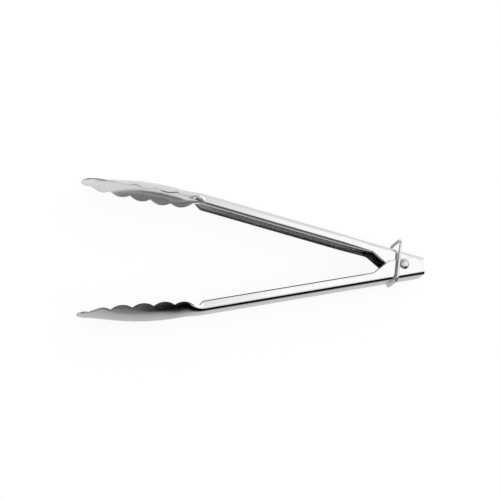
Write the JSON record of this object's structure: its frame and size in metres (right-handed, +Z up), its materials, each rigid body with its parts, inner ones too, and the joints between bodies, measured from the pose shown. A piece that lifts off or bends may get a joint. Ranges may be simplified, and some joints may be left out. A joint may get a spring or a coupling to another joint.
{
  "type": "spring loaded kitchen tongs",
  "caption": "Spring loaded kitchen tongs: hinged channel-section sheet steel arms with scalloped spoon-shaped heads, a rivet pivot and a sliding wire lock ring.",
  "frame": {"origin": "centre of the bounding box, on the plane that the tongs lie on", "axes": "+X from the heads to the hinge, +Y from the lower arm to the upper arm, +Z up along the rivet"},
  "size_m": [0.2322, 0.0938, 0.0302],
  "materials": {
    "arm_steel": "mirror polished pressed stainless sheet, satin inside the heads",
    "rivet_steel": "tumbled stainless rivet",
    "spring_steel": "bright drawn spring wire",
    "ring_steel": "bright polished wire"
  },
  "bodies": {
    "lower_arm": {"lower_arm": "arm_steel", "pivot_rivet": "rivet_steel", "torsion_spring": "spring_steel"},
    "upper_arm": {"upper_arm": "arm_steel"},
    "lock_ring": {"lock_ring": "ring_steel"}
  },
  "joints": [
    {"name": "arm_pivot", "type": "hinge", "parent": "lower_arm", "child": "upper_arm", "pos_m": [0.10149, 0, 0.01513], "axis": [0, 0, 1], "range_deg": [0, 22.8], "stiffness_Nm_per_rad": 0.8, "springref_deg": -14.32, "deforming": ["torsion_spring"]},
    {"name": "ring_slide", "type": "slide", "parent": "lower_arm", "child": "lock_ring", "axis": [-0.9759, -0.2181, 0], "range_m": [0, 0.046]}
  ],
  "couplings": [
    {"joint": "ring_slide", "follows": "arm_pivot", "m_per_rad": 0.11459}
  ]
}
